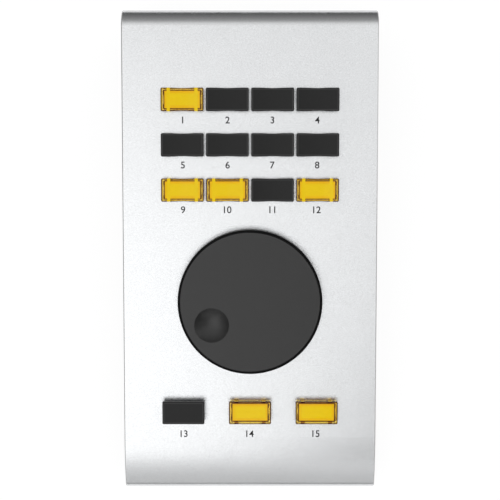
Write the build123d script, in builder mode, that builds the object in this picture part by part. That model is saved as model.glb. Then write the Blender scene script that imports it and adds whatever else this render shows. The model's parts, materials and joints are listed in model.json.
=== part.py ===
from build123d import *
from math import cos, radians, sin, tan
import os

# Desktop controller for studio monitors: a bent aluminium cover over a black steel tray, with
# fifteen lit keys and one large jog wheel on a sloping panel.
# Millimetres. X is the width, Y runs from the user to the back, Z is up, and Z = 0 is the desk.
# Panel places are (x, u): u runs up the slope from the wheel's axis. Heights above the panel are
# along its normal, and a negative height is inside the case.

# ---------------------------------------------------------------- case
case_width = 108.5
case_length = 205.0          # front face to rear face
panel_tilt = 6.5             # slope of the panel to the desk, degrees
panel_height = 28.0          # desk to panel at the wheel's axis
sheet = 2.5                  # aluminium cover
rear_bend = 7.0              # outside radius between panel and rear wall
front_curve = 62.5           # outside radius of the soft roll at the front
front_curve_start = 59.5     # wheel's axis to where the roll begins, down the slope
front_drop = 19.5            # how far the roll turns below the panel, degrees
front_flat = 0.3             # straight between the roll and the lip
lip_bend = 3.3               # outside radius between the roll and the front wall
bottom_bend = 3.3            # outside radius between the walls and their flanges
flange_depth = 13.0          # from the outside of a wall to the flange's free edge
flange_trim = 1.4            # flange end to the tray's side wall
edge_break = 0.35            # deburred side edges of the cover
corner_slit = 0.1            # relief above the trimmed bend

tray_sheet = 1.2             # steel tray
tray_inset = 1.5             # cover's side edge to the tray's side wall
tray_gap = 0.2               # tray to the inside of the cover
tray_bend = 1.6
foot_height = 3.0
foot_radius = 6.0
foot_recess_radius = 3.5
foot_recess = 0.8
foot_round = 0.6
foot_inset_x = 15.0          # tray's side to the foot's centre
foot_inset_y = 24.0          # cover's end wall to the foot's centre

# ---------------------------------------------------------------- screws
m3_radius = 1.48
m3_tapped = 1.5
m3_free = 1.7
m3_head_radius = 2.75
m3_head = 1.6
socket_radius = 1.0
socket_depth = 0.8
tray_screw_inset_x = 14.0    # tray's side to the screw
tray_screw_inset_y = 8.0     # end wall's outside to the screw
tray_screw_end = 0.3         # screw tip beyond the flange

# ---------------------------------------------------------------- keys
key_pitch = 19.0
row_pitch = 19.0
first_row = 85.3             # u of the rearmost of the three upper rows
lower_row = -47.95            # u of the three keys below the wheel
lower_pitch = 28.5
key_travel = 1.2
cap_gap = 1.0                # between neighbouring caps
cap_depth = 9.8
cap_waist = 0.17             # how far each long side pulls in at the middle
waist_reach = 6.0            # half the length of the waist
cap_corner = 0.6
cap_base = 1.5               # cap's lower edge above the panel
cap_height = 3.5
cap_shoulder = 1.0           # upright wall below the top, above the taper
cap_taper = 10.0             # how far the wall leans in below the shoulder, degrees
scoop = 0.9                  # finger hollow of an upper cap
cap_edge = 0.45
cap_ceiling = 1.0            # plastic left over the pad at the thinnest place
cap_wall = 0.8
pad_gap = 0.1                # pad to the cap's cavity, round its sides
pad_top_gap = 0.06           # and under its ceiling
pad_notch_width = 4.0        # recess in the middle of each end of the pad
pad_notch = 0.3
pad_bottom = 1.5             # pad's lower face above the panel, more than the travel
lug_spacing = 11.7           # between the snap lugs on one long side
lug_width = 1.6
lug_height = 1.0
lug_inset = 0.12             # lug's end behind the cap's long side
window_gap = 0.1
stem_length = 9.0
stem_depth = 5.0
stem_bottom = -7.6
foot_ledge = 0.35            # how far the stem's foot reaches past the stem at each end
foot_ledge_height = 0.8
stem_gap = 0.1               # stem to its guide
stop_gap = 0.05              # stem's foot to the lip that stops it
opening_gap = 0.6            # stem to the opening in the cover
opening_corner = 0.8

# ---------------------------------------------------------------- main board and key switches
board_top = -11.0            # height of the board's upper face
board_thickness = 1.6
board_side_gap = 1.55        # board to the tray's side wall
board_margin = 9.7           # outermost key rows to the board's front and rear edges
housing_wall_x = 1.5
housing_wall_y = 1.9
housing_floor = 1.2
housing_gap = 0.5            # housing's top to the cover
led_size = (2.4, 2.0)
led_height = 0.8
spring_radius = 2.0          # to the middle of the wire
spring_wire = 0.18           # radius of the wire
spring_turns = 2.5
spring_end_gap = 0.02
pillar_flat = 5.5            # across flats
pillar_edge = 5.0            # board's side edge to the pillars
pillar_end = 7.0             # board's front or rear edge to the outer pillars
middle_pillars = 22.0        # u of the middle pair
board_screw_grip = 5.0       # screw inside the pillar
pillar_bore_depth = 6.5

# ---------------------------------------------------------------- encoder and jog wheel
encoder_size = 14.0
encoder_height = 6.0
encoder_floor = 1.0
shaft_radius = 3.0
shaft_running = 0.05         # shaft to bush, radial
shaft_top = 2.4
shaft_foot_radius = 4.2
shaft_foot = 1.0
disc_radius = 5.8
disc_thickness = 0.4
disc_height = 2.6            # above the encoder's floor
bush_radius = 4.5
bush_height = 2.6            # above the encoder's body
hub_radius = 6.6
hub_bottom = -1.0
hub_opening_gap = 0.9
wheel_radius = 30.6
wheel_clear = 0.8            # wheel to panel
wheel_floor = 2.2
wheel_height = 7.5           # panel to the rim's top
rim_width = 0.8
rim_round = 0.3
skirt_width = 2.4            # wall left round the hollow underside
skirt_hollow = 0.8
inlay_gap = 0.08
inlay_round = 0.3
dimple_radius = 7.35
dimple_depth = 2.5
dimple_from_rim = 11.67      # wheel's rim to the dimple's middle
dimple_angle = 211.2         # round the wheel from +X, degrees
dimple_lip = 0.35
wheel_screw_length = 5.0
screw_pocket_gap = 0.4

# ---------------------------------------------------------------- rear board and sockets
io_board_z = 9.0             # underside above the desk
io_board_width = 64.0
io_board_length = 42.0
io_board_gap = 0.6           # to the rear wall
io_pillar_x = 28.0
io_pillar_front = 36.0       # board's rear edge to the front pillars
io_pillar_rear = 16.0
io_pillar_radius = 2.6
usb_x = -14.0
usb_width = 12.0
usb_height = 10.9
usb_length = 16.0
usb_shell = 0.4
usb_setback = 0.3            # socket's mouth behind the cover's rear face
usb_cut_gap = 0.35
usb_floor = 1.2
tongue_width = 5.6
tongue_height = 3.2
tongue_length = 9.0
blade_width = 1.0            # contact strips on the tongue
blade_thickness = 0.2
blade_length = 5.8
blade_spread = 2.5
jack_x = 14.0
jack_width = 13.0
jack_height = 12.0
jack_length = 26.0           # body inside the case
jack_bore = 3.25
jack_bore_end = 1.5          # closed end of the bore
nose_radius = 4.6
nose_out = 2.6               # nose beyond the cover's rear face
nose_gap = 0.25
jack_nut_flat = 11.0
jack_nut_height = 2.0
nut_gap = 0.02
contact_width = 2.0
contact_thickness = 0.4
contact_length = 9.0
contact_spread = 8.0         # between the contacts along the bore
contact_gap = 0.15           # contact's face outside the bore

# ---------------------------------------------------------------- ribbon and chips
header_width = 16.0
header_depth = 6.0
header_height = 5.0
header_mouth = 2.5           # mouth's middle from the board
ribbon_width = 12.7
ribbon_thickness = 0.9
ribbon_gap = 0.1             # ribbon to its header's slot
ribbon_plug = 3.0            # ribbon inside its header
ribbon_run = 6.0             # straight stretch out of the rear board's header
header_back = 5.0            # rear board's front edge to its header
controller_size = 10.0
controller_height = 1.4
controller_place = (-20.0, -22.0)
small_part = (3.2, 1.6)
small_part_height = 1.1
small_part_pitch = 9.0
small_parts_place = (10.0, -22.0)

# ---------------------------------------------------------------- worked out from the above
tilt = radians(panel_tilt)
lip_slope = tilt + radians(front_drop)
front_y = -(case_length + nose_out) / 2
rear_y = front_y + case_length
# From the wheel's axis to the virtual corner under the roll, then to the one under the lip.
knee_u = front_curve_start + front_curve * tan(radians(front_drop) / 2)
lip_length = front_curve * tan(radians(front_drop) / 2) + front_flat
lip_length += lip_bend * tan((radians(90) - lip_slope) / 2)
wheel_y = front_y + knee_u * cos(tilt) + lip_length * cos(lip_slope)
tray_z = foot_height
flange_z = tray_z + tray_sheet
up = (0, -sin(tilt), cos(tilt))
panel = Plane(origin=(0, wheel_y, panel_height), x_dir=(1, 0, 0), z_dir=up)
wheel_axis = Axis(panel.origin, up)
board_bottom = board_top - board_thickness
side_inside = case_width / 2 - tray_inset - tray_sheet
board_width = 2 * (side_inside - board_side_gap)
board_front = lower_row - board_margin
board_rear = first_row + board_margin
cap_length = key_pitch - cap_gap
pad_length = cap_length - 2 * (cap_wall + pad_gap)
pad_depth = cap_depth - 2 * (cap_wall + pad_gap)
opening_length = stem_length + 2 * opening_gap
opening_depth = stem_depth + 2 * opening_gap
cap_top = cap_base + cap_height
cavity_top = cap_top - scoop - cap_ceiling
pad_top = cavity_top - pad_top_gap
housing_length = stem_length + 2 * (foot_ledge + stem_gap + housing_wall_x)
housing_depth = stem_depth + 2 * (stem_gap + housing_wall_y)
housing_top = -sheet - housing_gap
housing_inside = board_top + housing_floor
encoder_top = board_top + encoder_height
inlay_bottom = wheel_clear + wheel_floor
inlay_radius = wheel_radius - rim_width - inlay_gap
wheel_screw_head_top = inlay_bottom + m3_head
io_board_top = io_board_z + board_thickness
io_rear = rear_y - sheet - io_board_gap
usb_mouth = rear_y - usb_setback
jack_z = io_board_top + jack_height / 2
inner_wall = rear_y - sheet

column_xs = [key_pitch * (column - 1.5) for column in range(4)]
upper_spots = [(x, first_row - row_pitch * row) for row in range(3) for x in column_xs]
lower_spots = [(lower_pitch * side, lower_row) for side in (-1, 0, 1)]
key_spots = upper_spots + lower_spots
pillar_rows = (board_rear - pillar_end, middle_pillars, board_front + pillar_end)
pillar_spots = [(side * (board_width / 2 - pillar_edge), u) for u in pillar_rows for side in (-1, 1)]
dimple_radial = wheel_radius - dimple_from_rim
dimple_place = (
    dimple_radial * cos(radians(dimple_angle)), dimple_radial * sin(radians(dimple_angle))
)


def panel_plane(x, u, height=0.0):
    """The plane parallel to the panel at a place (x, u) and a height along the normal."""
    return Plane(origin=panel.from_local_coords((x, u, height)), x_dir=(1, 0, 0), z_dir=up)


def save(built, name):
    """Labels a finished piece and writes it as a STEP file of that name."""
    built.part.label = name
    export_step(built.part, f"parts/{name}.step")


# Sharp corners of the case's side view as (y, z), each with the outside radius of its bend.
rear_top = panel_height + (rear_y - wheel_y) * tan(tilt)
knee = panel.from_local_coords((0, -knee_u, 0))
case_corners = [
    ((front_y, knee.Z - lip_length * sin(lip_slope)), lip_bend),
    ((front_y, flange_z), bottom_bend),
    ((rear_y, flange_z), bottom_bend),
    ((rear_y, rear_top), rear_bend),
    ((knee.Y, knee.Z), front_curve),
]


def case_side(inset):
    """Side view of the case as a face, pulled in by the inset all round."""
    with BuildSketch() as side:
        with BuildLine():
            Polyline(*[corner for corner, bend in case_corners], close=True)
        make_face()
        if inset:
            offset(amount=-inset, kind=Kind.INTERSECTION)
        for corner, bend in case_corners:
            fillet(side.vertices().sort_by_distance((*corner, 0))[0], bend - inset)
    return side.sketch


os.makedirs("parts", exist_ok=True)
case_middle = (front_y + rear_y) / 2

# ================================================================ cover and tray
# The cover is one strip of aluminium bent round the case: rear flange, rear wall, panel, soft
# front roll, front wall and front flange.
with BuildPart() as top_cover:
    with BuildSketch(Plane.YZ):
        add(case_side(0))
        add(case_side(sheet), mode=Mode.SUBTRACT)
        with Locations((case_middle, flange_z + sheet / 2)):
            Rectangle(case_length - 2 * flange_depth, 2 * sheet, mode=Mode.SUBTRACT)
    extrude(amount=case_width / 2, both=True)
    side_faces = top_cover.faces().filter_by(Axis.X).sort_by(Axis.X)
    chamfer((side_faces[0].edges() + side_faces[-1].edges()), edge_break)
    # Flanges and their bends stop short of the tray's side walls.
    trim_width = case_width / 2 - side_inside + flange_trim
    with BuildSketch(Plane.XY.offset(flange_z)):
        with GridLocations(case_width - trim_width, 0, 2, 1):
            Rectangle(trim_width + 2 * edge_break, 2 * case_length)
    extrude(amount=bottom_bend + corner_slit, mode=Mode.SUBTRACT)
    # Openings for the key stems and the wheel's hub.
    with BuildSketch(panel):
        with Locations(*key_spots):
            RectangleRounded(opening_length, opening_depth, opening_corner)
        Circle(hub_radius + hub_opening_gap)
    extrude(amount=-2 * sheet, mode=Mode.SUBTRACT)
    # Rear wall: the data socket and the footswitch jack.
    with BuildSketch(Plane(origin=(0, rear_y, 0), x_dir=(-1, 0, 0), z_dir=(0, 1, 0))):
        with Locations((-usb_x, io_board_top + usb_height / 2)):
            RectangleRounded(usb_width + 2 * usb_cut_gap, usb_height + 2 * usb_cut_gap, usb_cut_gap)
        with Locations((-jack_x, jack_z)):
            Circle(nose_radius + nose_gap)
    extrude(amount=-2 * sheet, mode=Mode.SUBTRACT)
    # Tapped holes in the flanges.
    screw_spots = [
        (side * (side_inside - tray_screw_inset_x), y)
        for side in (-1, 1)
        for y in (front_y + tray_screw_inset_y, rear_y - tray_screw_inset_y)
    ]
    with BuildSketch(Plane.XY.offset(flange_z)):
        with Locations(*screw_spots):
            Circle(m3_tapped)
    extrude(amount=sheet, mode=Mode.SUBTRACT)
save(top_cover, "top_cover")

foot_spots = [
    (side * (side_inside - foot_inset_x), y)
    for side in (-1, 1)
    for y in (front_y + foot_inset_y, rear_y - foot_inset_y)
]

# The tray closes the underside and both sides. Its side walls follow the inside of the cover.
with BuildPart() as base_tray:
    with BuildSketch(Plane.YZ.offset(-case_width / 2 + tray_inset)):
        add(case_side(sheet + tray_gap))
        with Locations((case_middle, tray_z)):
            bottom_size = (case_length - 2 * (sheet + tray_gap), 2 * bottom_bend + sheet)
            Rectangle(*bottom_size, align=(Align.CENTER, Align.MIN))
    extrude(amount=case_width - 2 * tray_inset)
    fillet(base_tray.faces().sort_by(Axis.Z)[0].edges().filter_by(Axis.X, reverse=True), tray_bend)
    # Hollow it out between the side walls, which leaves the bottom and the two sides.
    with BuildSketch(Plane.YZ.offset(-side_inside)):
        with Locations((case_middle, flange_z)):
            Rectangle(2 * case_length, case_length, align=(Align.CENTER, Align.MIN))
    extrude(amount=2 * side_inside, mode=Mode.SUBTRACT)
    # The bottom stops inside the cover's lower bends.
    with BuildSketch(Plane.XY.offset(tray_z)):
        for end_y, away in ((front_y, Align.MAX), (rear_y, Align.MIN)):
            inward = bottom_bend + tray_gap if away is Align.MAX else -bottom_bend - tray_gap
            with Locations((0, end_y + inward)):
                Rectangle(2 * side_inside, case_length, align=(Align.CENTER, away))
    extrude(amount=tray_sheet, mode=Mode.SUBTRACT)
    io_pillar_spots = [
        (side * io_pillar_x, io_rear - back)
        for side in (-1, 1)
        for back in (io_pillar_rear, io_pillar_front)
    ]
    with BuildSketch(Plane.XY.offset(tray_z)):
        with Locations(*screw_spots):
            Circle(m3_free)
        with Locations(*foot_spots):
            Circle(m3_tapped)
    extrude(amount=tray_sheet, mode=Mode.SUBTRACT)
save(base_tray, "base_tray")

# Round rubber feet, each with a plug pressed through the tray's bottom.
with BuildPart() as feet:
    with BuildSketch():
        with Locations(*foot_spots):
            Circle(foot_radius)
    extrude(amount=foot_height)
    fillet(feet.edges().group_by(Axis.Z)[0], foot_round)
    with BuildSketch():
        with Locations(*foot_spots):
            Circle(foot_recess_radius)
    extrude(amount=foot_recess, mode=Mode.SUBTRACT)
    with BuildSketch(Plane.XY.offset(foot_height)):
        with Locations(*foot_spots):
            Circle(m3_radius)
    extrude(amount=tray_sheet)
save(feet, "feet")

# Pan-head screws that hold the tray to the cover's flanges.
with BuildPart() as tray_screws:
    with BuildSketch(Plane.XY.offset(tray_z - m3_head)):
        with Locations(*screw_spots):
            Circle(m3_head_radius)
    extrude(amount=m3_head)
    with BuildSketch(Plane.XY.offset(tray_z)):
        with Locations(*screw_spots):
            Circle(m3_radius)
    extrude(amount=tray_sheet + sheet + tray_screw_end)
    with BuildSketch(Plane.XY.offset(tray_z - m3_head)):
        with Locations(*screw_spots):
            RegularPolygon(socket_radius, 6)
    extrude(amount=socket_depth, mode=Mode.SUBTRACT)
save(tray_screws, "tray_screws")

# ================================================================ main board
with BuildPart() as main_board:
    with BuildSketch(panel.offset(board_bottom)):
        with Locations((0, (board_front + board_rear) / 2)):
            RectangleRounded(board_width, board_rear - board_front, 2 * board_thickness)
        with Locations(*pillar_spots):
            Circle(m3_free, mode=Mode.SUBTRACT)
    extrude(amount=board_thickness)
save(main_board, "main_board")

# Hexagon pillars pressed into the underside of the panel. The main board hangs from them.
with BuildPart() as board_pillars:
    with BuildSketch(panel.offset(board_top)):
        with Locations(*pillar_spots):
            RegularPolygon(pillar_flat / 2, 6, major_radius=False)
    extrude(amount=-sheet - board_top)
    with BuildSketch(panel.offset(board_top)):
        with Locations(*pillar_spots):
            Circle(m3_tapped)
    extrude(amount=pillar_bore_depth, mode=Mode.SUBTRACT)
save(board_pillars, "board_pillars")

with BuildPart() as board_screws:
    with BuildSketch(panel.offset(board_bottom)):
        with Locations(*pillar_spots):
            Circle(m3_head_radius)
    extrude(amount=-m3_head)
    with BuildSketch(panel.offset(board_bottom)):
        with Locations(*pillar_spots):
            Circle(m3_radius)
    extrude(amount=board_thickness + board_screw_grip)
    with BuildSketch(panel.offset(board_bottom - m3_head)):
        with Locations(*pillar_spots):
            RegularPolygon(socket_radius, 6)
    extrude(amount=socket_depth, mode=Mode.SUBTRACT)
save(board_screws, "board_screws")

# One housing for each key: a guide for the stem, with a lip that stops the stem's foot.
lip_underside = stem_bottom + foot_ledge_height + stop_gap
with BuildPart() as switch_housings:
    with BuildSketch(panel.offset(board_top)):
        with Locations(*key_spots):
            Rectangle(housing_length, housing_depth)
    extrude(amount=housing_top - board_top)
    with BuildSketch(panel.offset(housing_inside)):
        with Locations(*key_spots):
            Rectangle(stem_length + 2 * (foot_ledge + stem_gap), stem_depth + 2 * stem_gap)
    extrude(amount=lip_underside - housing_inside, mode=Mode.SUBTRACT)
    with BuildSketch(panel.offset(lip_underside)):
        with Locations(*key_spots):
            Rectangle(stem_length + 2 * stem_gap, stem_depth + 2 * stem_gap)
    extrude(amount=housing_top - lip_underside, mode=Mode.SUBTRACT)
save(switch_housings, "switch_housings")

with BuildPart() as key_leds:
    with BuildSketch(panel.offset(housing_inside)):
        with Locations(*key_spots):
            Rectangle(*led_size)
    extrude(amount=led_height)
save(key_leds, "key_leds")

# Return springs, round the light under each stem.
spring_foot = housing_inside + spring_wire + spring_end_gap
spring_free = stem_bottom - spring_wire - spring_end_gap - spring_foot
with BuildPart() as one_spring:
    with BuildLine():
        coil = Helix(spring_free / spring_turns, spring_free, spring_radius)
    with BuildSketch(Plane(origin=coil @ 0, z_dir=coil % 0)):
        Circle(spring_wire)
    sweep(path=coil)
with BuildPart(panel) as key_springs:
    with Locations(*[(x, u, spring_foot) for x, u in key_spots]):
        add(one_spring.part)
save(key_springs, "key_springs")

# ================================================================ keys


def cap_outline(waist):
    """Top view of a cap: a rectangle whose long sides pull in by the waist at the middle."""
    end_x, side_y = cap_length / 2, cap_depth / 2
    flat_x, flat_y = end_x - cap_corner, side_y - cap_corner
    with BuildSketch() as outline:
        with BuildLine():
            for quarter, (end, side) in enumerate(((1, 1), (-1, 1), (-1, -1), (1, -1))):
                CenterArc((end * flat_x, side * flat_y), cap_corner, 90 * quarter, 90)
            for side in (-1, 1):
                Line((side * end_x, -flat_y), (side * end_x, flat_y))
                left, right = (-flat_x, side * side_y), (flat_x, side * side_y)
                if waist:
                    in_left, in_right = (-waist_reach, side * side_y), (waist_reach, side * side_y)
                    Line(left, in_left)
                    middle = (0, side * (side_y - waist))
                    Spline(in_left, middle, in_right, tangents=[(1, 0), (1, 0)])
                    Line(in_right, right)
                else:
                    Line(left, right)
        make_face()
    return outline.sketch


def make_cap(place, waist, hollow):
    """A clear or smoked key cap: a shell over the light pad, with windows for its four lugs."""
    scoop_radius = ((cap_length / 2) ** 2 + scoop**2) / (2 * scoop)
    shoulder = cap_top - cap_shoulder
    with BuildPart() as cap:
        # The wall below the shoulder leans in: the outline meets a tapered block.
        with BuildSketch(place.offset(cap_base)):
            add(cap_outline(waist))
        extrude(amount=shoulder - cap_base)
        lean = 2 * (shoulder - cap_base) * tan(radians(cap_taper))
        with BuildSketch(place.offset(cap_base)):
            Rectangle(cap_length - lean, cap_depth - lean)
        with BuildSketch(place.offset(shoulder)):
            Rectangle(cap_length, cap_depth)
        loft(mode=Mode.INTERSECT)
        with BuildSketch(place.offset(shoulder)):
            add(cap_outline(waist))
        extrude(amount=cap_shoulder)
        if hollow:
            with Locations(place.offset(cap_top + scoop_radius - scoop)):
                Cylinder(scoop_radius, 2 * cap_depth, rotation=(90, 0, 0), mode=Mode.SUBTRACT)
        crown = cap.faces().sort_by(Axis(place.origin, up))[-1]
        fillet(crown.edges(), cap_edge)
        with BuildSketch(place.offset(cap_base)):
            RectangleRounded(cap_length - 2 * cap_wall, cap_depth - 2 * cap_wall, cap_corner)
        extrude(amount=cavity_top - cap_base, mode=Mode.SUBTRACT)
        with BuildSketch(place.offset(pad_top - lug_height - window_gap)):
            with GridLocations(lug_spacing, 0, 2, 1):
                Rectangle(lug_width + 2 * window_gap, 2 * cap_depth)
        extrude(amount=lug_height + window_gap + pad_top_gap, mode=Mode.SUBTRACT)
    return cap


def make_plunger(place):
    """The light pad that fills the cap, with its snap lugs, and the stem that works the switch."""
    with BuildPart() as plunger:
        with BuildSketch(place.offset(pad_top)):
            RectangleRounded(pad_length, pad_depth, cap_corner)
            with GridLocations(pad_length - pad_notch, 0, 2, 1):
                Rectangle(pad_notch, pad_notch_width, mode=Mode.SUBTRACT)
        extrude(amount=pad_bottom - pad_top)
        with BuildSketch(place.offset(pad_top)):
            with GridLocations(lug_spacing, 0, 2, 1):
                Rectangle(lug_width, cap_depth - 2 * lug_inset)
        extrude(amount=-lug_height)
        with BuildSketch(place.offset(stem_bottom)):
            Rectangle(stem_length, stem_depth)
        extrude(amount=pad_top - stem_bottom)
        with BuildSketch(place.offset(stem_bottom)):
            Rectangle(stem_length + 2 * foot_ledge, stem_depth)
        extrude(amount=foot_ledge_height)
    return plunger


for number, (x, u) in enumerate(key_spots, start=1):
    upper = (x, u) in upper_spots
    save(make_cap(panel_plane(x, u), cap_waist if upper else 0, upper), f"key_{number}_cap")
    save(make_plunger(panel_plane(x, u)), f"key_{number}_plunger")

# ================================================================ encoder and jog wheel
with BuildPart() as encoder_body:
    with BuildSketch(panel.offset(board_top)):
        RectangleRounded(encoder_size, encoder_size, encoder_floor)
    extrude(amount=encoder_height)
    with BuildSketch(panel.offset(board_top + encoder_floor)):
        Circle(encoder_size / 2 - encoder_floor)
    extrude(amount=encoder_height - 2 * encoder_floor, mode=Mode.SUBTRACT)
    with BuildSketch(panel.offset(board_top + encoder_floor)):
        Circle(bush_radius)
    extrude(amount=encoder_height, mode=Mode.SUBTRACT)
save(encoder_body, "encoder_body")

# Brass bush in the roof of the encoder, the bearing of the wheel's shaft.
bush_foot = encoder_top - encoder_floor
with BuildPart() as encoder_bush:
    with BuildSketch(panel.offset(bush_foot)):
        Circle(bush_radius)
        Circle(shaft_radius + shaft_running, mode=Mode.SUBTRACT)
    extrude(amount=encoder_floor + bush_height)
save(encoder_bush, "encoder_bush")

# Steel shaft with a foot that keeps it in the bush, tapped at the top for the wheel's screw.
shaft_foot_top = bush_foot - stop_gap
with BuildPart() as encoder_shaft:
    with BuildSketch(panel.offset(shaft_foot_top - shaft_foot)):
        Circle(shaft_foot_radius)
    extrude(amount=shaft_foot)
    with BuildSketch(panel.offset(shaft_foot_top - shaft_foot)):
        Circle(shaft_radius)
    extrude(amount=shaft_top - shaft_foot_top + shaft_foot)
    with BuildSketch(panel.offset(shaft_top)):
        Circle(m3_tapped)
    extrude(amount=-wheel_screw_length - stop_gap, mode=Mode.SUBTRACT)
save(encoder_shaft, "encoder_shaft")

# Slotted disc that the encoder reads, under the shaft's foot.
disc_top = shaft_foot_top - shaft_foot
with BuildPart() as code_disc:
    with BuildSketch(panel.offset(disc_top - disc_thickness)):
        Circle(disc_radius)
        with PolarLocations(disc_radius - 1.1, 24):
            Rectangle(1.4, 0.5, mode=Mode.SUBTRACT)
    extrude(amount=disc_thickness)
save(code_disc, "code_disc")

# The wheel's black body: rim, floor and hub in one piece.
with BuildPart() as wheel_body:
    with BuildSketch(panel.offset(wheel_clear)):
        Circle(wheel_radius)
    extrude(amount=wheel_height - wheel_clear)
    outer_rims = wheel_body.edges().filter_by(GeomType.CIRCLE).group_by(wheel_axis)
    fillet(outer_rims[-1] + outer_rims[0], rim_round)
    with BuildSketch(panel.offset(inlay_bottom)):
        Circle(wheel_radius - rim_width)
    extrude(amount=wheel_height, mode=Mode.SUBTRACT)
    with BuildSketch(panel.offset(wheel_clear)):
        Circle(wheel_radius - skirt_width)
        Circle(hub_radius, mode=Mode.SUBTRACT)
    extrude(amount=skirt_hollow, mode=Mode.SUBTRACT)
    with BuildSketch(panel.offset(hub_bottom)):
        Circle(hub_radius)
    extrude(amount=wheel_clear - hub_bottom)
    with BuildSketch(panel.offset(hub_bottom)):
        Circle(shaft_radius)
    extrude(amount=shaft_top - hub_bottom, mode=Mode.SUBTRACT)
    with BuildSketch(panel.offset(hub_bottom)):
        Circle(m3_free)
    extrude(amount=wheel_height, mode=Mode.SUBTRACT)
save(wheel_body, "wheel_body")

# Dark grey inlay that covers the screw, with the hollow for a fingertip.
dimple_ball = (dimple_radius**2 + dimple_depth**2) / (2 * dimple_depth)
with BuildPart(panel) as wheel_inlay:
    with BuildSketch(panel.offset(inlay_bottom)):
        Circle(inlay_radius)
    extrude(amount=wheel_height - inlay_bottom)
    fillet(wheel_inlay.edges().filter_by(GeomType.CIRCLE).group_by(wheel_axis)[-1], inlay_round)
    with Locations((*dimple_place, wheel_height + dimple_ball - dimple_depth)):
        Sphere(dimple_ball, mode=Mode.SUBTRACT)
    rim_of_dimple = wheel_inlay.edges().filter_by(GeomType.CIRCLE)
    fillet(rim_of_dimple.filter_by(lambda e: abs(e.radius - dimple_radius) < edge_break), dimple_lip)
    with BuildSketch(panel.offset(inlay_bottom)):
        Circle(m3_head_radius + screw_pocket_gap)
    extrude(amount=m3_head + screw_pocket_gap, mode=Mode.SUBTRACT)
save(wheel_inlay, "wheel_inlay")

with BuildPart() as wheel_screw:
    with BuildSketch(panel.offset(inlay_bottom)):
        Circle(m3_head_radius)
    extrude(amount=m3_head)
    with BuildSketch(panel.offset(inlay_bottom)):
        Circle(m3_radius)
    extrude(amount=shaft_top - inlay_bottom - wheel_screw_length)
    with BuildSketch(panel.offset(wheel_screw_head_top)):
        RegularPolygon(socket_radius, 6)
    extrude(amount=-socket_depth, mode=Mode.SUBTRACT)
save(wheel_screw, "wheel_screw")

# ================================================================ rear board and sockets
with BuildPart() as io_board:
    with BuildSketch(Plane.XY.offset(io_board_z)):
        with Locations((0, io_rear - io_board_length / 2)):
            RectangleRounded(io_board_width, io_board_length, board_thickness)
        with Locations(*io_pillar_spots):
            Circle(m3_free, mode=Mode.SUBTRACT)
    extrude(amount=board_thickness)
save(io_board, "io_board")

with BuildPart() as io_pillars:
    with BuildSketch(Plane.XY.offset(flange_z)):
        with Locations(*io_pillar_spots):
            Circle(io_pillar_radius)
            Circle(m3_tapped, mode=Mode.SUBTRACT)
    extrude(amount=io_board_z - flange_z)
save(io_pillars, "io_pillars")

with BuildPart() as io_screws:
    with BuildSketch(Plane.XY.offset(io_board_top)):
        with Locations(*io_pillar_spots):
            Circle(m3_head_radius)
    extrude(amount=m3_head)
    with BuildSketch(Plane.XY.offset(io_board_top)):
        with Locations(*io_pillar_spots):
            Circle(m3_radius)
    extrude(amount=-board_thickness - (io_board_z - flange_z) + io_board_gap)
    with BuildSketch(Plane.XY.offset(io_board_top + m3_head)):
        with Locations(*io_pillar_spots):
            RegularPolygon(socket_radius, 6)
    extrude(amount=-socket_depth, mode=Mode.SUBTRACT)
save(io_screws, "io_screws")

# Square data socket: a folded steel shell round a plastic insert with a tongue.
usb_face = Plane(origin=(usb_x, usb_mouth, io_board_top + usb_height / 2), x_dir=(-1, 0, 0), z_dir=(0, 1, 0))
with BuildPart() as usb_shell_part:
    with BuildSketch(usb_face):
        RectangleRounded(usb_width, usb_height, 2 * usb_shell)
        offset(amount=-usb_shell, mode=Mode.SUBTRACT)
    extrude(amount=-usb_length)
save(usb_shell_part, "usb_shell")

with BuildPart() as usb_insert:
    with BuildSketch(usb_face.offset(-usb_length)):
        RectangleRounded(usb_width - 2 * usb_shell, usb_height - 2 * usb_shell, usb_shell)
    extrude(amount=usb_length - tongue_length)
    with BuildSketch(usb_face.offset(-tongue_length)):
        RectangleRounded(usb_width - 2 * usb_shell, usb_height - 2 * usb_shell, usb_shell)
        RectangleRounded(
            usb_width - 2 * usb_shell - 2 * usb_floor, usb_height - 2 * usb_shell - 2 * usb_floor,
            usb_shell, mode=Mode.SUBTRACT,
        )
    extrude(amount=tongue_length - usb_floor)
    with BuildSketch(usb_face.offset(-tongue_length)):
        Rectangle(tongue_width, tongue_height)
    extrude(amount=tongue_length - 2 * usb_floor)
save(usb_insert, "usb_insert")

# Four contact strips, two on each side of the tongue.
with BuildPart() as usb_contacts:
    with BuildSketch(usb_face.offset(-tongue_length)):
        with GridLocations(blade_spread, tongue_height + blade_thickness, 2, 2):
            Rectangle(blade_width, blade_thickness)
    extrude(amount=blade_length)
save(usb_contacts, "usb_contacts")

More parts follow.
